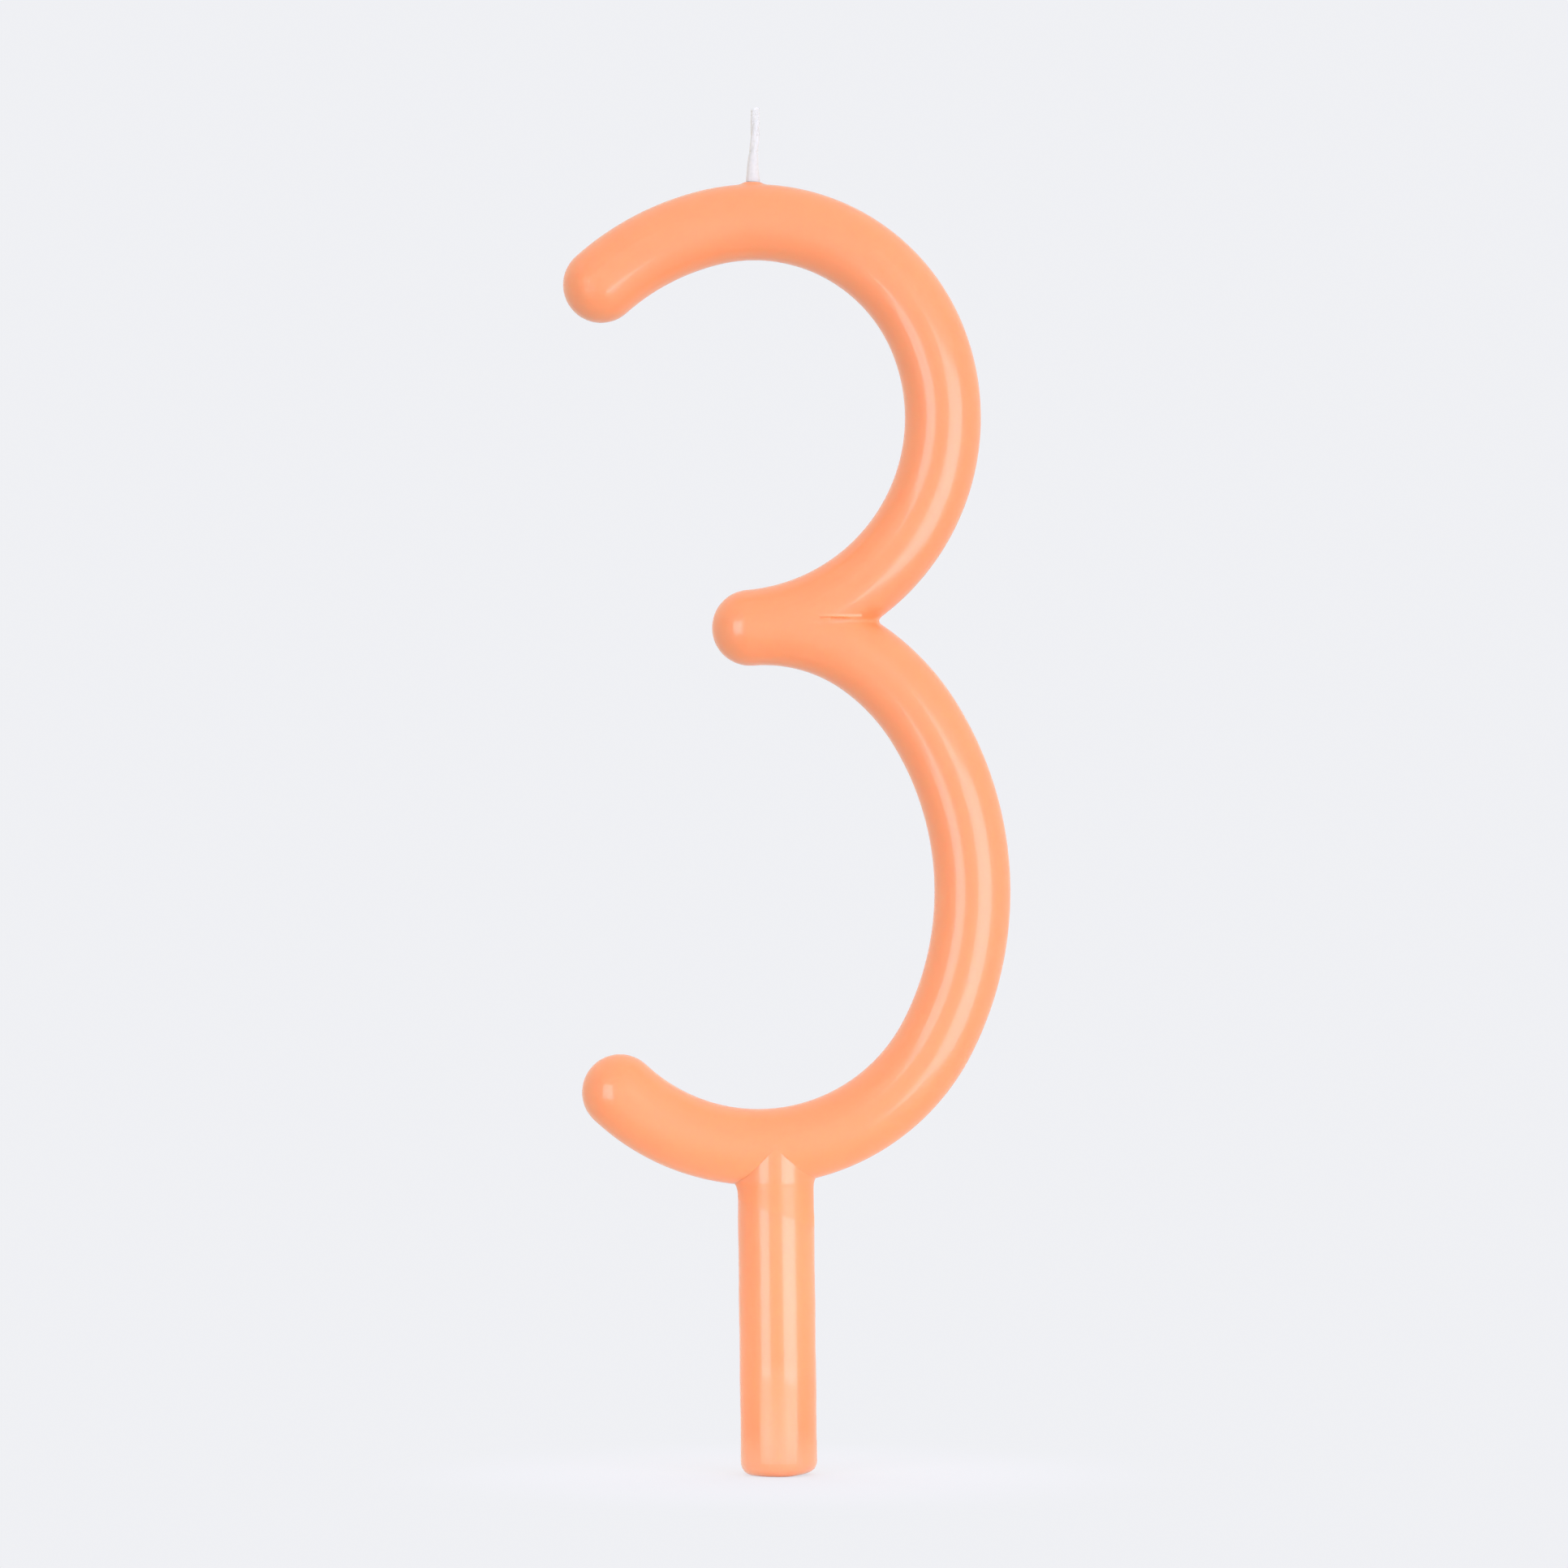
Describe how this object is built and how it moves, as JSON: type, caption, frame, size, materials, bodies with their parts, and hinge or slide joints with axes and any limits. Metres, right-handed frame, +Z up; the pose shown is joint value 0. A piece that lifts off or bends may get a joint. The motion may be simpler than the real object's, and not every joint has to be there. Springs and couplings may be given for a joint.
{
  "type": "number candle",
  "caption": "Wax birthday-cake candle in the shape of the figure 3, a round bar in two open bowls, with a round stem that is pushed into the cake and a cotton wick at the top.",
  "frame": {"origin": "centre of the stem's flat foot", "axes": "+Z up the stem towards the wick, -Y out of the figure's face, +X to the figure's right as it is read"},
  "size_m": [0.0586, 0.01, 0.1792],
  "materials": {
    "figure_wax": "smooth coral wax with a soft satin gloss",
    "stem_wax": "smooth coral wax, glossier than the figure, with faint waves",
    "wick_cotton": "primed white cotton braid, slightly translucent"
  },
  "bodies": {
    "root": {"figure": "figure_wax", "stem": "stem_wax", "wick": "wick_cotton"}
  },
  "joints": []
}
